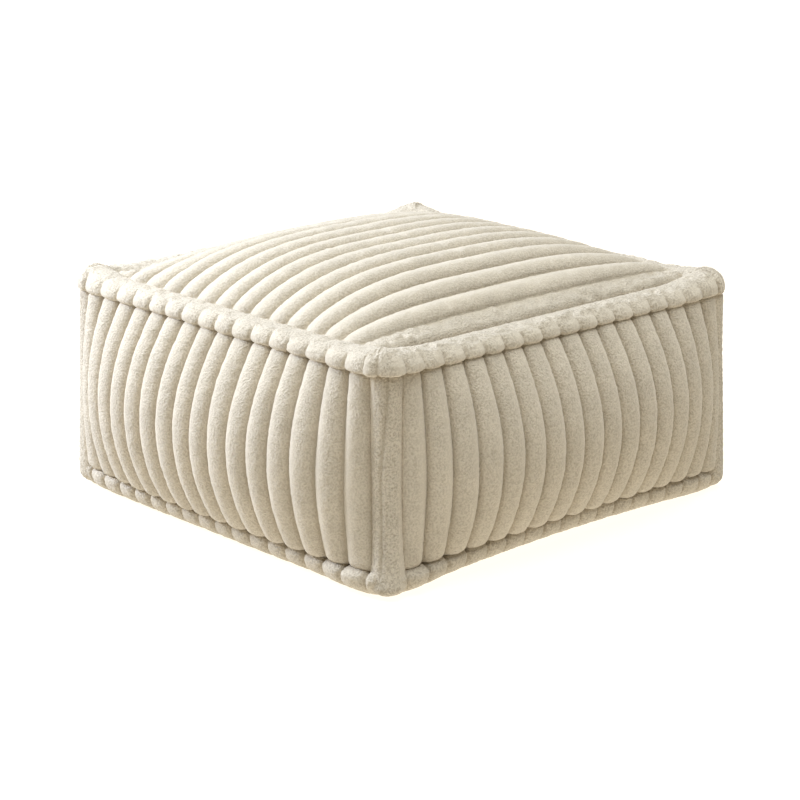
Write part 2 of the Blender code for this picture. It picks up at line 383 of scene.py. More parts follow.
def stitch_down(panel):
    """Lays the grid over its face, a little swollen, and marks the points that the stitches hold."""
    start = panel["base"] + panel["normal"] * (START_SWELL * RIB_HEIGHT * panel["round"])[..., None]
    set_points(panel["piece"], panel_points(panel, start))
    group = panel["piece"].vertex_groups.new(name="stitched")
    group.add([int(k) for k in np.flatnonzero(panel_points(panel, panel["channel"]))], 1.0, "REPLACE")


def add_stuffing(piece):
    """Adds Cloth with pressure, pinned where the stitches hold."""
    cloth = piece.modifiers.new("stuffing", "CLOTH")
    cloth.settings.vertex_group_mass = "stitched"
    cloth.settings.quality = 4
    cloth.settings.mass = 0.3
    cloth.settings.use_pressure = True
    cloth.settings.uniform_pressure_force = 15
    cloth.settings.effector_weights.gravity = 0
    cloth.settings.tension_stiffness = cloth.settings.compression_stiffness = 5
    cloth.settings.shear_stiffness = 2
    cloth.settings.bending_stiffness = 0.05
    cloth.settings.shrink_min = -0.015


def press_back(panel):
    """Applies the cloth, caps it, scales it to the ribs' height and mixes it with the drawn ribs."""
    bpy.ops.object.select_all(action="DESELECT")
    bpy.context.view_layer.objects.active = panel["piece"]
    panel["piece"].select_set(True)
    base, normal = panel_points(panel, panel["base"]), panel_points(panel, panel["normal"])
    drawn = normal * panel_points(panel, RIB_HEIGHT * panel["round"])[:, None]
    swell = drawn
    bpy.ops.object.modifier_apply(modifier="stuffing")
    swell = get_points(panel["piece"]) - base
    swell *= np.minimum(1, CAP / np.maximum(np.linalg.norm(swell, axis=1, keepdims=True), 1e-9))
    crest = panel_points(panel, panel["crest"])
    found = np.sum(swell[crest] * normal[crest], axis=1)
    mean, spread = np.round([found.mean() * 1000, found.std() * 1000], 2)
    print(panel["piece"].name, "swelled by", mean, "mm, give or take", spread)
    swell = BLOWN * swell * RIB_HEIGHT / found.mean() + (1 - BLOWN) * drawn
    set_points(panel["piece"], base + swell * panel_points(panel, panel["height"])[:, None])
    panel["piece"].vertex_groups.clear()


for panel in panels:
    stitch_down(panel)
for panel in panels:
    add_stuffing(panel["piece"])
for step in range(1, LAST_FRAME + 1):
    scene.frame_set(step)
for panel in panels:
    press_back(panel)

# %% [markdown]
# The channels stay sharp and the ribs turn smooth with one round of subdivision, because the edges along
# the channels are creased. Two Displace modifiers then give the pile its uneven surface, and the rim is
# drawn in behind the face and closed, so that the panel is a solid piece.

# %% Smooth, roughen and close a piece
TUFT_GRAIN, PILE_GRAIN = 0.012, 0.0045
PANEL_PILE, ROLL_PILE, POST_PILE = (0.0005, 0.0012), (0.0012, 0.0016), (0.0008, 0.0020)  # tufts, pile
BEHIND = 0.006  # how far behind its face a panel is closed


def crease_edges(piece, chosen):
    """Keeps the edges between chosen points sharp when the mesh is subdivided."""
    ends = np.empty(len(piece.data.edges) * 2, dtype=np.int32)
    piece.data.edges.foreach_get("vertices", ends)
    ends = ends.reshape(-1, 2)
    store = piece.data.attributes.new("crease_edge", "FLOAT", "EDGE")
    store.data.foreach_set("value", (chosen[ends[:, 0]] & chosen[ends[:, 1]]).astype(np.float32))


def only(piece):
    """Selects this piece and nothing else."""
    bpy.ops.object.select_all(action="DESELECT")
    piece.select_set(True)
    bpy.context.view_layer.objects.active = piece


def smooth_once(piece):
    """Applies one round of subdivision."""
    only(piece)
    finer = piece.modifiers.new("finer", "SUBSURF")
    finer.levels = finer.render_levels = 1
    bpy.ops.object.modifier_apply(modifier="finer")


def raise_pile(piece, heights):
    """Pushes the surface in and out by two cloudy patterns: tufts, and the finer pile on them."""
    only(piece)
    for name, grain, height in zip(("tufts", "pile"), (TUFT_GRAIN, PILE_GRAIN), heights):
        clouds = bpy.data.textures.get(name) or bpy.data.textures.new(name, "CLOUDS")
        clouds.noise_scale = grain
        clouds.noise_depth = 1
        pile = piece.modifiers.new(name, "DISPLACE")
        pile.texture, pile.strength, pile.mid_level = clouds, height, 0.5
        bpy.ops.object.modifier_apply(modifier=name)


def rest_on_floor(piece):
    """Presses flat what the pile has pushed below the floor."""
    points = get_points(piece)
    points[:, 2] = np.maximum(points[:, 2], 0.0)
    set_points(piece, points)


def close_behind(piece, inwards):
    """Draws the open rim of a panel in by that vector, twice, and closes it to a point."""
    only(piece)
    bpy.ops.object.mode_set(mode="EDIT")
    bpy.ops.mesh.select_mode(type="EDGE")
    bpy.ops.mesh.select_all(action="DESELECT")
    bpy.ops.mesh.select_non_manifold()
    bpy.ops.mesh.extrude_region_move(TRANSFORM_OT_translate={"value": tuple(inwards)})
    bpy.ops.mesh.extrude_region_move(TRANSFORM_OT_translate={"value": tuple(inwards)})
    bpy.ops.mesh.merge(type="CENTER")
    bpy.ops.mesh.select_all(action="SELECT")
    bpy.ops.mesh.normals_make_consistent(inside=False)
    bpy.ops.object.mode_set(mode="OBJECT")
    bpy.ops.object.shade_smooth()


for panel, inwards in zip(panels, ((0, BEHIND, 0), (BEHIND, 0, 0), (0, 0, -BEHIND))):
    piece = panel["piece"]
    # Painted shade: the channels are darkened, more the lower they lie below the rib's crest. The brushed half
    # of each rib is painted lighter.
    keep_number(piece, "painted_shade", panel_points(panel, 1 - panel["round"]))
    keep_number(piece, "nap_and_highlight", panel_points(panel, panel["nap_and_highlight"]))
    crease_edges(piece, panel_points(panel, panel["channel"]))
    smooth_once(piece)
    raise_pile(piece, PANEL_PILE)
    close_behind(piece, inwards)
print("Finished panels:", [len(p["piece"].data.polygons) for p in panels], "faces")

# %% [markdown]
# The back is sewn as the front is, and the right side as the left. Each is a copy with its own mesh, turned
# half round, with the turn put into the mesh.

# %% Copy the opposite sides
def turned_copy(piece, name):
    """A copy with its own mesh, turned half round."""
    only(piece)
    bpy.ops.object.duplicate(linked=False)
    copy = bpy.context.object
    copy.name = copy.data.name = name
    copy.rotation_euler = (0, 0, math.pi)
    bpy.ops.object.transform_apply(location=False, rotation=True, scale=False)
    return copy


cushion_pieces = [p["piece"] for p in panels]
cushion_pieces.append(turned_copy(panels[0]["piece"], "cushion_side_back"))
cushion_pieces.append(turned_copy(panels[1]["piece"], "cushion_side_right"))
print("Sides:", [p.name for p in cushion_pieces])

# %% [markdown]
# The edge rolls run round the top and the bottom without a break. Each starts as a grid that is wrapped into
# a tube and joined end to end, and its rings are spread along the edge so that the nips between two lobes
# fall on the channels of the side below. A bevelled curve would also give a tube, but a grid's points can be
# placed one by one, which the nips need. The crease at a corner lies a little before it, so that the first
# lobe of the next side wraps round the corner.

# %% Spread the rings of a roll along the edge
MITRE = 0.0065  # how far before the corner the crease lies
MITRE_RINGS = 3
LEAST_RADIUS = 0.008  # the sharpest turn of a roll at a corner


def edge_columns():
    """For each ring: its side, its place along it, its share of a lobe, the lobe's number, if at a corner."""
    rows = []
    number = 0
    for name, side in SIDES.items():
        half, channels = side["half"], side["channels"]
        last = half - MITRE
        first = channels[0] + half + MITRE  # the length of the lobe that wraps round the corner
        for step in range(PER_RIB):
            part = step / PER_RIB * (first - MITRE)
            rows.append((name, part - half, (part + MITRE) / first, number, True))
        nips = np.concatenate((channels, [last]))
        for start, end in zip(nips, nips[1:]):
            number += 1
            for step in range(PER_RIB):
                share = float(crowd(step / PER_RIB))
                rows.append((name, start + (end - start) * share, share, number, end == last))
        number += 1
        for step in range(MITRE_RINGS):
            part = MITRE * step / MITRE_RINGS
            rows.append((name, last + part, part / first, number, True))
    return [(*row[:3], row[3] % number, row[4]) for row in rows]


COLUMNS = edge_columns()
EDGE = {
    "side": [c[0] for c in COLUMNS],
    "along": np.array([c[1] for c in COLUMNS]),
    "share": np.array([c[2] for c in COLUMNS]),
    "lobe": np.array([c[3] for c in COLUMNS]),
    "corner": np.array([c[4] for c in COLUMNS]),
}
for key in ("runs", "faces"):
    EDGE[key] = np.array([SIDES[name][key] for name in EDGE["side"]], dtype=float)
for key in ("half", "out", "arch"):
    EDGE[key] = np.array([SIDES[name][key] for name in EDGE["side"]])
at_front_left = [(c[0] == "front" and c[1] < 0) or (c[0] == "left" and c[1] > 0) for c in COLUMNS]
EDGE["front_left"] = np.array(at_front_left, dtype=float)
EDGE["across"] = np.clip(EDGE["along"] / (EDGE["half"] - CORNER), -1, 1)
LOBES = int(EDGE["lobe"].max()) + 1
print("A roll has", LOBES, "lobes in", len(COLUMNS), "rings")

# %% [markdown]
# A ring is a closed row of points round the roll's section. Each point is given by how far in from the stitch
# line it lies and how high. The same rule turns the corner at every inset, so no ring runs into the next.

# %% Place the rings
def edge_point(inset, z, slide=0.0):
    """A point of each ring at that inset from the stitch line. The corners are rounded at every inset."""
    half, out = EDGE["half"][:, None], EDGE["out"][:, None]
    place_along = EDGE["along"][:, None] + slide
    reach = np.maximum(CORNER, inset + LEAST_RADIUS)
    radius = reach - inset
    past = np.clip((np.abs(place_along) - (half - CORNER)) / CORNER, 0, 1)
    turn = np.sign(place_along) * past * np.pi / 4
    straight = np.clip(place_along / (half - CORNER), -1, 1)
    along = straight * (half - reach) + radius * np.sin(turn)
    out = out - reach + radius * np.cos(turn)
    x = EDGE["runs"][:, :1] * along + EDGE["faces"][:, :1] * out
    y = EDGE["runs"][:, 1:] * along + EDGE["faces"][:, 1:] * out
    return np.stack([x, y, z], axis=-1)


def section_turns(first, last, rows):
    """Angles round the roll's section: that many rows where it shows, then six rows underneath."""
    shown = np.linspace(first, last, rows)
    under = np.linspace(shown[-1], shown[0] + 360, 8)[1:-1]
    return np.radians(np.concatenate((shown, under)))


def corner_nearness(reach=0.060):
    """1 at a corner, about a third at that reach, and next to nothing at twice the reach."""
    return np.exp(-(((EDGE["half"] - np.abs(EDGE["along"])) / reach) ** 2))


def varied(seed, amount):
    """For each ring, its lobe's random number: 1, give or take the amount."""
    return (1 + amount * np.random.default_rng(seed).uniform(-1, 1, LOBES))[EDGE["lobe"]]


def by_side(values, spread=10):
    """One number for each ring, which changes smoothly from one side's to the next side's."""
    numbers = np.array([values[name] for name in EDGE["side"]], dtype=float)
    window = np.ones(2 * spread + 1) / (2 * spread + 1)
    joined = np.concatenate((numbers[-spread:], numbers, numbers[:spread]))
    return np.convolve(joined, window, "valid")[:, None]


print("Rings nearest to a corner:", int((corner_nearness() > 0.5).sum()))

# %% [markdown]
# In section a roll is a flattened tube, round where it shows and nearly flat where it is sewn down. Every
# lobe is a small pillow: the nips between two lobes are deepest at the stitches and fade towards the crest.
# There the pile is ruffled, and on the far half of each lobe it is brushed flat and painted lighter, partly a
# painted highlight. Painted shade darkens the nips. Angles are in degrees round the section: 0 faces out, 90
# is the crest and 180 faces in.

# %% The lobes and the pile of a roll
CREST_FROM, CREST_TO = 30, 70
RUFFLED = 0.3
HELD_BELOW = 80  # nips are held sharp below this angle


def lobe_round(share, fullness, steepness=0.5):
    """Height of a lobe, from 0 in its nips to 1 in its middle."""
    return (1 - np.abs(2 * share - 1) ** fullness) ** steepness


def nip_fade(angle, full, gone):
    """How deep a nip still is at an angle round the section: all of it up to one angle, none past another."""
    return 1 - smooth_step(angle, full, gone)


def lobe_nap_and_highlight(angle):
    """The pile of a lobe is brushed flat and painted lighter on its far half, and ruffled along its crest. The
    lighter colour is partly a painted highlight.
    """
    forward = by_side({"front": 1, "right": 0, "back": 1, "left": 0}, 1)
    share = EDGE["share"][:, None]
    far = forward * smooth_step(share, 0.35, 0.65) + (1 - forward) * smooth_step(1 - share, 0.35, 0.65)
    crest = smooth_step(angle, CREST_FROM, CREST_TO)
    return far * (1 - crest) - RUFFLED * crest


def wrap_ring(name, points, painted_shade, nips, nap_and_highlight):
    """Wraps a grid into a closed tube through those points, then smooths and roughens it."""
    rings, turns = painted_shade.shape
    piece, column, row = start_grid(name, rings, turns)
    column, row = column % rings, row % turns
    set_points(piece, points[column, row])
    keep_number(piece, "painted_shade", painted_shade[column, row])
    keep_number(piece, "nip", nips[column, row])
    keep_number(piece, "nap_and_highlight", nap_and_highlight[column, row])
    bpy.ops.object.mode_set(mode="EDIT")
    bpy.ops.mesh.select_all(action="SELECT")
    bpy.ops.mesh.remove_doubles(threshold=1e-7)
    bpy.ops.object.mode_set(mode="OBJECT")
    held = np.empty(len(piece.data.vertices), dtype=np.float32)
    piece.data.attributes["nip"].data.foreach_get("value", held)
    crease_edges(piece, held > 0.5)
    smooth_once(piece)
    raise_pile(piece, ROLL_PILE)
    rest_on_floor(piece)
    bpy.ops.object.mode_set(mode="EDIT")
    bpy.ops.mesh.select_all(action="SELECT")
    bpy.ops.mesh.normals_make_consistent(inside=False)
    bpy.ops.object.mode_set(mode="OBJECT")
    bpy.ops.object.shade_smooth()
    print(piece.name, "has", len(piece.data.polygons), "faces")
    return piece


print("Lobes are ruffled above", CREST_TO, "degrees")

# %% [markdown]
# The top roll differs a little from side to side, as the filling pushes it up and out. For each side: how far
# in it reaches from the stitch line, the height of its middle over that line, how far it rises and drops from
# there, where its nips end, how tufted its crest is, and how much painted shade darkens its nips.

# %% Shape the top roll
FRONT_ROLL = {
    "inner": 0.050,
    "middle": 0.008,
    "above": 0.021,
    "below": 0.0085,
    "nips_end": 58,
    "tufts": 0.0018,
    "shade": 0.6,
}
RIGHT_ROLL = {
    "inner": 0.052,
    "middle": 0.009,
    "above": 0.0225,
    "below": 0.0110,
    "nips_end": 74,
    "tufts": 0.0010,
    "shade": 0.8,
}
LEFT_ROLL = {
    "inner": 0.046,
    "middle": 0.0105,
    "above": 0.022,
    "below": 0.0125,
    "nips_end": 74,
    "tufts": 0.0010,
    "shade": 0.8,
}
TOP_ROLL = {"front": FRONT_ROLL, "right": RIGHT_ROLL, "back": FRONT_ROLL, "left": LEFT_ROLL}
ROLL_OUTER = -0.0165  # the roll stands this far out over the stitch line
AT_CORNERS = {"outer": 0.0030, "above": 0.013, "below": -0.001}  # what is added near every corner
AT_FRONT_LEFT = {"outer": -0.0085, "middle": 0.001, "above": -0.004, "below": -0.003}  # and at this one
TOP_ROLL_TURNS = section_turns(-80, 195, 32)[None, :]
NIPS_FULL = 26
NIP_DEPTH, CORNER_NIP = 0.0055, 0.75  # a nip's depth, and the share of it that the corner lobes have
LOBE_PUFF = 0.0012
TOP_LOBE_FULLNESS, BOTTOM_LOBE_FULLNESS = 2.3, 3.2
TUFT_ANGLE, TUFT_SPREAD = 72, 34
TOP_CHANNEL_DIP = 0.0030  # the channels of the top dent the rolls that they end under


def build_top_roll():
    """The roll round the top, nipped on its outside by the sides' channels."""
    turns = TOP_ROLL_TURNS
    angle = np.degrees(turns)
    shown = angle < 196
    share, near = EDGE["share"][:, None], corner_nearness()[:, None]
    on_corner = EDGE["corner"][:, None]
    front_left = near * EDGE["front_left"][:, None]

    def this_side(key):
        return by_side({name: roll[key] for name, roll in TOP_ROLL.items()})

    def added(key):
        return AT_CORNERS.get(key, 0) * near + AT_FRONT_LEFT.get(key, 0) * front_left

    inner, outer = this_side("inner"), ROLL_OUTER + added("outer")
    middle = this_side("middle") + added("middle")
    above = this_side("above") + added("above")
    below = this_side("below") + added("below")
    inset = (inner + outer) / 2 - (inner - outer) / 2 * np.cos(turns)
    rise = middle + np.where(np.sin(turns) > 0, above, below) * np.sin(turns)
    rounded = lobe_round(share, TOP_LOBE_FULLNESS)
    fade = nip_fade(angle, NIPS_FULL, this_side("nips_end")) * shown
    depth = NIP_DEPTH * varied(21, 0.12)[:, None] * (1 - rounded) * fade
    depth = depth * np.where(on_corner, CORNER_NIP, 1.0)
    depth = depth - LOBE_PUFF * varied(22, 1.0)[:, None] * rounded * fade
    crest = np.exp(-(((angle - TUFT_ANGLE) / TUFT_SPREAD) ** 2))
    depth = depth + this_side("tufts") * crest * fluff((len(COLUMNS), turns.shape[1]), 1, 23)
    inset = inset + depth * np.cos(turns)
    rise = rise - depth * np.sin(turns)
    points = edge_point(inset, TOP_STITCH_Z + rise)
    lying = (np.abs(EDGE["faces"][:, :1]) > 0.5) & (angle > 75) & shown
    y = points[..., 1]
    line = np.clip(np.searchsorted(TOP_LINES, y) - 1, 0, len(TOP_LINES) - 2)
    top_share = np.clip((y - TOP_LINES[line]) / (TOP_LINES[line + 1] - TOP_LINES[line]), 0, 1)
    dip = TOP_CHANNEL_DIP * (1 - rib_round(top_share)) * lying * np.clip(np.sin(turns), 0, 1) * (1 - near)
    points[..., 2] -= dip
    # Painted shade in the nips, full at the corners.
    painted_shade = (1 - rounded) * fade * np.maximum(this_side("shade"), on_corner)
    nips = (share < 1e-6) & (angle < HELD_BELOW)
    return wrap_ring("edge_roll_top", points, painted_shade, nips, lobe_nap_and_highlight(angle))


roll_top = build_top_roll()

# %% [markdown]
# The bottom roll carries the weight. It is pressed flat on the floor, bows out with the side above it and
# swells beside the corners, where the filling is pushed. Its lower edge is lifted in the middle of the front
# and the back.

# %% Shape the bottom roll
BOTTOM_ROLL_TURNS = section_turns(-80, 190, 27)[None, :]
BOTTOM_INSET, BOTTOM_REACH = 0.0220, 0.0360
BOTTOM_MIDDLE, BOTTOM_ABOVE, BOTTOM_BELOW = -0.0085, 0.0320, 0.0165
SWELL_AT, SWELL_WIDTH, SWELL, FRONT_LEFT_SWELL = 0.060, 0.050, 0.002, 0.008
FRONT_LEFT_OUT = 0.010
SLIDE, SLIDE_AT = 0.004, 0.035  # the lobes beside the front left corner are pushed away from it
BOTTOM_NIP_DEPTH = 0.0095
BOTTOM_NIPS = (5, 80)  # the angles where the nips begin to fade and are gone


def build_bottom_roll():
    """The roll round the bottom, which lies on the floor."""
    turns = BOTTOM_ROLL_TURNS
    angle = np.degrees(turns)
    shown = angle < 191
    share, near = EDGE["share"][:, None], corner_nearness()[:, None]
    front_left = EDGE["front_left"][:, None]
    bow = (BOTTOM_BOW * (1 - EDGE["across"] ** 6))[:, None]
    lift = (EDGE["arch"] * (1 - EDGE["across"] ** 2))[:, None]
    outward = np.clip(np.cos(turns), 0, 1)
    gap = (EDGE["half"] - np.abs(EDGE["along"]))[:, None]
    swell = np.exp(-(((gap - SWELL_AT) / SWELL_WIDTH) ** 2)) * (SWELL + FRONT_LEFT_SWELL * front_left)
    pushed = bow + FRONT_LEFT_OUT * near * front_left + swell
    inset = BOTTOM_INSET - BOTTOM_REACH * np.cos(turns) - outward * pushed
    drop = BOTTOM_MIDDLE - np.where(np.sin(turns) > 0, BOTTOM_ABOVE, BOTTOM_BELOW) * np.sin(turns)
    rounded = lobe_round(share, BOTTOM_LOBE_FULLNESS)
    fade = nip_fade(angle, *BOTTOM_NIPS) * shown
    depth = BOTTOM_NIP_DEPTH * varied(31, 0.2)[:, None] * (1 - rounded) * fade
    inset = inset + depth * np.cos(turns)
    drop = drop + depth * np.minimum(np.sin(turns), 0)
    slide = np.sign(EDGE["along"])[:, None] * SLIDE * front_left * gap / SLIDE_AT * np.exp(1 - gap / SLIDE_AT)
    points = edge_point(inset, np.maximum(BOTTOM_STITCH_Z + lift + drop, 0.0), slide)
    nips = (share < 1e-6) & (angle < HELD_BELOW)
    # Painted shade in the nips; the far half of each lobe is brushed and painted lighter, at half strength.
    return wrap_ring("edge_roll_bottom", points, (1 - rounded) * fade, nips, 0.5 * lobe_nap_and_highlight(angle))


roll_bottom = build_bottom_roll()

# %% [markdown]
# The upright rolls at the corners are plain round tubes, with one seam down the outside that twists a little
# towards the top. A cylinder could be used, but a sphere's ends are round and closed, so each is a sphere
# primitive drawn out into a post. Its ends run on under the rolls above and below. The one at the front left
# slips a little to the side and has a swollen foot.

# %% Build the corner rolls
POST_RADIUS, POST_INSET = 0.0240, 0.0168
POST_WAIST, POST_FLARE = 0.001, 0.0075  # it is a little thinner in its middle, and stands out at its foot
POST_FOOT_Z, POST_OVER = 0.001, 0.014  # its lower end, and how far it runs on over the top stitch line
FOOT_SWELL, FOOT_HEIGHT = 0.006, 0.030
SEAM_DEPTH, SEAM_WIDTH, SEAM_SHADE = 0.0032, 0.0024, 0.004
SEAM_TURN, SEAM_TWIST = -21, 30
SLIP = 0.0026
POST_UNEVENNESS = 0.0006
BRUSHED_ONE_WAY, BRUSHED_OTHER_WAY = (0.9, 1.3), (0.6, 1.0)  # radians from the seam, which is ruffled
POSTS = (
    ("front_left", -1, -1, 1, SLIP),
    ("front_right", 1, -1, 2),
    ("back_right", 1, 1, 3),
    ("back_left", -1, 1, 4),
)


def build_post(name, sx, sy, seed, slip=0.0):
    """The upright roll at the corner on those sides of the middle. One that slips has a swollen foot."""
    bpy.ops.object.select_all(action="DESELECT")
    bpy.ops.mesh.primitive_uv_sphere_add(segments=64, ring_count=64, radius=1, location=(0, 0, 0))
    piece = bpy.context.object
    piece.name = piece.data.name = "upright_roll_" + name
    at = get_points(piece)
    t = 1 - np.arccos(np.clip(at[:, 2], -1, 1)) / np.pi
    turn = np.arctan2(at[:, 1], at[:, 0])
    z = POST_FOOT_Z + (TOP_STITCH_Z + POST_OVER) * t
    share = np.clip((z - BOTTOM_STITCH_Z) / SIDE_HEIGHT, 0, 1)
    foot = np.exp(-((z / FOOT_HEIGHT) ** 2)) * (1.0 if slip else 0.0)
    ends = np.minimum(1, np.sin(np.pi * t) * 7).clip(0, 1) ** 0.45
    radius = (POST_RADIUS - POST_WAIST * np.sin(np.pi * share) + FOOT_SWELL * foot) * ends
    twist = np.radians(SEAM_TWIST * smooth_step(share, 0.45, 1.0) + SEAM_TURN)
    off = (turn - math.atan2(sy, sx) - twist + np.pi) % (2 * np.pi) - np.pi
    seam = SEAM_DEPTH * np.exp(-((off * POST_RADIUS / SEAM_WIDTH) ** 2)) * smooth_step(t, 0.05, 0.2)
    radius = radius - seam + POST_UNEVENNESS * wander(share, seed)
    inset = POST_INSET - POST_FLARE * (1 - share) - FOOT_SWELL * foot
    aside = slip * (1 + 0.8 * (1 - share))
    x = sx * (WIDTH / 2 - inset) + radius * np.cos(turn) + aside
    y = sy * (DEPTH / 2 - inset) + radius * np.sin(turn) - aside
    set_points(piece, np.stack([x, y, z], axis=-1))
    # Painted shade in the groove of the seam.
    keep_number(piece, "painted_shade", np.exp(-((off * POST_RADIUS / SEAM_SHADE) ** 2)))
    # Beside the seam the pile is ruffled, and further round it is brushed and painted lighter, partly a
    # painted highlight; the post with the swollen foot most.
    brushed = 1.0 if slip else 0.3
    edges = smooth_step(off, *BRUSHED_ONE_WAY) + smooth_step(-off, *BRUSHED_OTHER_WAY)
    keep_number(piece, "nap_and_highlight", brushed * edges - RUFFLED * (1 - edges))
    smooth_once(piece)
    raise_pile(piece, POST_PILE)
    rest_on_floor(piece)
    bpy.ops.object.shade_smooth()
    return piece


posts = [build_post(*post) for post in POSTS]
print("Corner rolls:", [p.name for p in posts])

# %% [markdown]
# The base is the panel that lies on the floor inside the bottom roll. It is flat, because the weight of the
# cushion presses it there, so a grid with its rim turned up is enough.

# %% Build the base
BASE_CELLS = 60
BASE_HALF_X, BASE_HALF_Y = WIDTH / 2 - ROLL_WIDTH + 0.002, DEPTH / 2 - ROLL_WIDTH + 0.002
BASE_RIM, BASE_RIM_RISE = 0.012, 0.010  # its rim turns up behind the bottom roll


def build_base():
    """The flat panel on the floor. Its grid is turned over, so that it faces down."""
    piece, column, row = start_grid("cushion_base", BASE_CELLS, BASE_CELLS)
    x = (column / (BASE_CELLS / 2) - 1) * BASE_HALF_X
    y = (row / (BASE_CELLS / 2) - 1) * BASE_HALF_Y
    margin = np.minimum(BASE_HALF_X - np.abs(x), BASE_HALF_Y - np.abs(y))
    rim = np.clip(1 - margin / BASE_RIM, 0, 1)
    set_points(piece, np.stack([x, -y, BASE_RIM_RISE * rim**2], axis=-1))
    # Painted shade where the rim turns up, and brushed pile painted lighter all over.
    keep_number(piece, "painted_shade", rim)
    keep_number(piece, "nap_and_highlight", np.ones_like(rim))
    close_behind(piece, (0, 0, BEHIND))
    return piece


base = build_base()
cushion_pieces.append(base)
print("The base lies at", min(v.co.z for v in base.data.vertices))

# %% [markdown]
# The plush is a thick cream pile. Its colour is darker and browner in the pits between the tufts, and painted
# shade darkens and browns it in the folds, channels, nips and seams. A soft sheen lightens it where the light
# grazes it. Where the nap is brushed flat, the pits close and the surface is smoother, and the colour is
# lighter:
# partly the brushed pile's own colour and partly a painted highlight. The strands of the pile are too many and
# too fine to model, so a noise pattern on Object coordinates gives the tufts, for colour and for bump alike.
# Two stored attributes say where the painted shade goes and where the pile is brushed and painted lighter.

# %% Small helpers for the finish
def times(tree, source, factor):
    """That source, multiplied."""
    node = tree.nodes.new("ShaderNodeMath")
    node.operation = "MULTIPLY"
    node.inputs[1].default_value = factor
    tree.links.new(source, node.inputs[0])
    return node.outputs[0]


def map_range(tree, source, start, end, clamp=True):
    """That source, with the numbers of the first pair turned into those of the second."""
    node = tree.nodes.new("ShaderNodeMapRange")
    node.clamp = clamp
    node.inputs["From Min"].default_value, node.inputs["From Max"].default_value = start
    node.inputs["To Min"].default_value, node.inputs["To Max"].default_value = end
    tree.links.new(source, node.inputs["Value"])
    return node.outputs["Result"]


def noise(tree, scale, detail=2.0, roughness=0.5):
    """A cloudy pattern on Object coordinates."""
    where = tree.nodes.new("ShaderNodeTexCoord")
    node = tree.nodes.new("ShaderNodeTexNoise")
    node.inputs["Scale"].default_value = scale
    node.inputs["Detail"].default_value = detail
    node.inputs["Roughness"].default_value = roughness
    tree.links.new(where.outputs["Object"], node.inputs["Vector"])
    return node.outputs["Fac"]


def stored(tree, name):
    """A number that is kept on the mesh."""
    node = tree.nodes.new("ShaderNodeAttribute")
    node.attribute_name = name
    return node.outputs["Fac"]


def mix_colours(tree, share, first, second):
    """The first colour where the share is 0 and the second where it is 1. Either may be a socket."""
    node = tree.nodes.new("ShaderNodeMix")
    node.data_type = "RGBA"
    tree.links.new(share, node.inputs[0])
    for socket, colour in ((node.inputs[6], first), (node.inputs[7], second)):
        if isinstance(colour, tuple):
            socket.default_value = (*colour, 1)
        else:
            tree.links.new(colour, socket)
    return node.outputs[2]


print("The finish reads the attributes", sorted({a.name for a in base.data.attributes} & {"painted_shade", "nap_and_highlight"}))

# %% Mix the plush
TUFTS_PER_METRE, PATCHES_PER_METRE = 330, 28
PIT_LOW, PIT_HIGH = 0.37, 0.58
# Closing the pits where the nap is brushed makes the colour lighter, partly a painted highlight.
BRUSHED_COVER_AND_HIGHLIGHT = 0.68  # how much of the pits' colour goes where the nap is brushed
# How far the painted shade in folds, channels, nips and seams goes towards its colour.
FOLD_SHADE = 0.6
PATCH_DARK, PATCH_LIGHT = 0.94, 1.03
BRUSHED_BUMP = 0.35
PILE_BUMP = 0.0025


def plush(name, colour, pit_colour, painted_shade_colour):
    """A plush with those colours on its tufts, in the pits between them and in its folds."""
    material = bpy.data.materials.new(name)
    material.use_nodes = True
    tree = material.node_tree
    shader = tree.nodes["Principled BSDF"]
    shader.inputs["Roughness"].default_value = 0.95
    shader.inputs["Specular IOR Level"].default_value = 0.1
    shader.inputs["Sheen Weight"].default_value = 0.25
    shader.inputs["Sheen Roughness"].default_value = 0.5
    shader.inputs["Sheen Tint"].default_value = (1.0, 0.97, 0.9, 1.0)
    nap_and_highlight, painted_shade = stored(tree, "nap_and_highlight"), stored(tree, "painted_shade")
    tufts = noise(tree, TUFTS_PER_METRE, roughness=0.6)
    # The pits close where the nap is brushed: partly real pile, partly a painted highlight.
    shown = tree.nodes.new("ShaderNodeMath")
    shown.operation = "MAXIMUM"
    tree.links.new(map_range(tree, tufts, (PIT_LOW, PIT_HIGH), (0, 1)), shown.inputs[0])
    tree.links.new(times(tree, nap_and_highlight, BRUSHED_COVER_AND_HIGHLIGHT), shown.inputs[1])
    pile = mix_colours(tree, shown.outputs[0], pit_colour, colour)
    steep = tree.nodes.new("ShaderNodeMath")
    steep.operation = "POWER"
    steep.inputs[1].default_value = 2.0
    tree.links.new(painted_shade, steep.inputs[0])
    # Painted shade: the colour is darkened towards the shade colour in folds, channels, nips and seams.
    shaded = mix_colours(tree, times(tree, steep.outputs[0], FOLD_SHADE), pile, painted_shade_colour)
    patches = map_range(tree, noise(tree, PATCHES_PER_METRE), (0.3, 0.7), (PATCH_DARK, PATCH_LIGHT))
    tone = tree.nodes.new("ShaderNodeVectorMath")
    tone.operation = "SCALE"
    tree.links.new(shaded, tone.inputs[0])
    tree.links.new(patches, tone.inputs["Scale"])
    tree.links.new(tone.outputs[0], shader.inputs["Base Color"])
    bump = tree.nodes.new("ShaderNodeBump")
    bump.inputs["Distance"].default_value = PILE_BUMP
    tree.links.new(map_range(tree, nap_and_highlight, (0, 1), (1.0, BRUSHED_BUMP), clamp=False), bump.inputs["Strength"])
    tree.links.new(tufts, bump.inputs["Height"])
    tree.links.new(bump.outputs["Normal"], shader.inputs["Normal"])
    return material


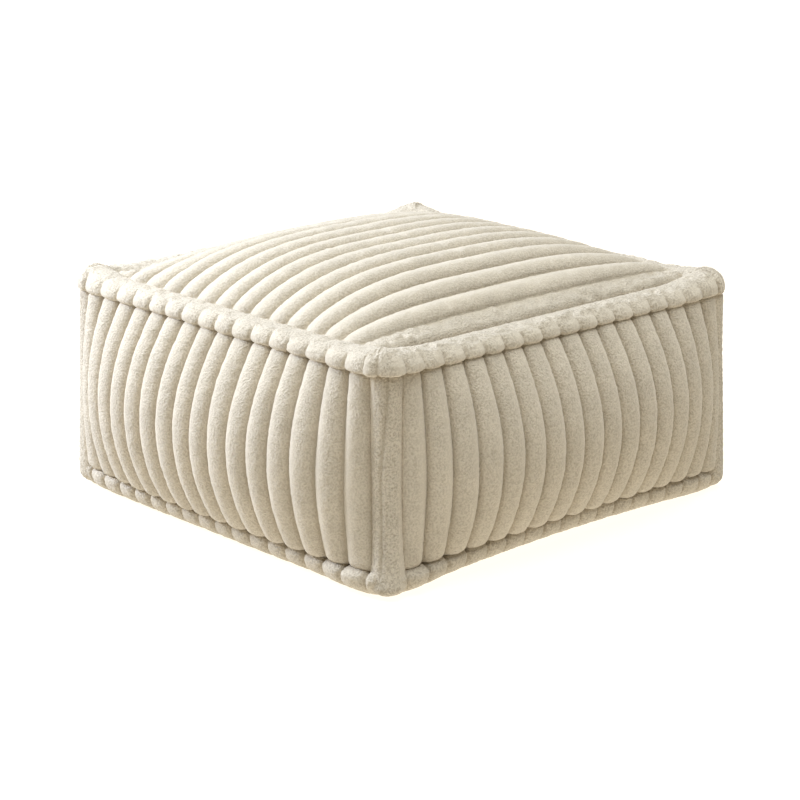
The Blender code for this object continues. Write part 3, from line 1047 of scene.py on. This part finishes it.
# The last colour of each plush is its painted shade.
cream = plush("cream_plush", (0.650, 0.569, 0.441), (0.512, 0.435, 0.324), (0.40, 0.33, 0.225))
cream_roll = plush("cream_plush_rolls", (0.670, 0.588, 0.457), (0.475, 0.400, 0.295), (0.42, 0.35, 0.245))
for piece in cushion_pieces:
    piece.data.materials.clear()
    piece.data.materials.append(cream)
for piece in [roll_top, roll_bottom, *posts]:
    piece.data.materials.clear()
    piece.data.materials.append(cream_roll)
print("Finishes:", cream.name, "and", cream_roll.name)

# %% [markdown]
# Each piece rides on the model's root. The imported model keeps its plain solids
# for weight and contact, and these pieces take their place where it is seen.

# %% Join the pieces to the model
for piece in cushion_pieces:
    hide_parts("filled_cushion")
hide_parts(*["top_roll_" + name for name in SIDES])
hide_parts(*["bottom_roll_" + name for name in SIDES])
for post in posts:
    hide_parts(post.name.replace("upright", "corner"))
for piece in [*cushion_pieces, roll_top, roll_bottom, *posts]:
    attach(piece, "root")
print("Pieces joined:", len(cushion_pieces) + 2 + len(posts))

# %% [markdown]
# The ottoman stands on a plain pale floor. It is one large plane, a little below zero so that it never
# touches the base. It glows softly, so that the ground is even and white without hard shadows.

# %% Floor
FLOOR_GLOW = 1.06
bpy.ops.object.select_all(action="DESELECT")
bpy.ops.mesh.primitive_plane_add(size=60, location=(0, 0, -0.0005))
floor = bpy.context.object
floor.name = floor.data.name = "studio_floor"
white = bpy.data.materials.new("studio_white")
white.use_nodes = True
white_shader = white.node_tree.nodes["Principled BSDF"]
white_shader.inputs["Base Color"].default_value = (0.15, 0.15, 0.15, 1)
white_shader.inputs["Roughness"].default_value = 1.0
white_shader.inputs["Emission Color"].default_value = (1, 0.947, 0.83, 1)
white_shader.inputs["Emission Strength"].default_value = FLOOR_GLOW
floor.data.materials.append(white)
print("The floor lies at", floor.location.z, "m")

# %% [markdown]
# One broad soft light shines straight down, as a bright ceiling does. A round lamp behind and to the left
# stands for a window, and gives the ribs on that side their bright edges. The floor's glow fills in the side
# that is turned away.

# %% Light
OVERHEAD_STRENGTH, OVERHEAD_SPREAD = 1.31, 60
WINDOW_POWER, WINDOW_SIZE, WINDOW_PLACE = 60, 1.0, (-1.3, 1.6, 1.3)
WINDOW_AIM = (0, 0, 0.25)
scene.view_settings.view_transform = "Standard"
world = bpy.data.worlds.new("studio")
scene.world = world
world.use_nodes = True
world.node_tree.nodes["Background"].inputs["Color"].default_value = (1, 0.92, 0.8, 1)
world.node_tree.nodes["Background"].inputs["Strength"].default_value = 0.02


def hang_lamp(name, lamp, place, faces_from):
    """Adds a lamp there. It shines from that direction."""
    lit = bpy.data.objects.new(name, lamp)
    lit.location = place
    lit.rotation_euler = Vector(faces_from).to_track_quat("Z", "Y").to_euler()
    scene.collection.objects.link(lit)


overhead = bpy.data.lights.new("overhead", "SUN")
overhead.angle, overhead.energy = math.radians(OVERHEAD_SPREAD), OVERHEAD_STRENGTH * math.pi
overhead.color = (0.95, 1, 1.05)
hang_lamp("overhead", overhead, (0, 0, 0), (0, 0, 1))
window = bpy.data.lights.new("window", "AREA")
window.shape, window.size = "DISK", WINDOW_SIZE
window.energy, window.color = WINDOW_POWER, (0.88, 1.0, 1.27)
hang_lamp("window", window, WINDOW_PLACE, Vector(WINDOW_PLACE) - Vector(WINDOW_AIM))

# %% [markdown]
# The camera stands about four metres away at the front left corner and looks down a little. The long lens
# keeps the sides nearly parallel.

# %% Camera
FOCAL_LENGTH = 109.62
LOOKS_DOWN, LOOKS_ASIDE = 16.509, 42.863  # degrees
lens = bpy.data.cameras.new("camera")
lens.lens = FOCAL_LENGTH
camera = bpy.data.objects.new("camera", lens)
camera.location = (-2.5923, -2.7925, 1.2735)
camera.rotation_euler = (math.radians(90 - LOOKS_DOWN), 0, math.radians(-LOOKS_ASIDE))
scene.collection.objects.link(camera)
scene.camera = camera
print("The camera is", round(camera.location.length, 2), "m away")
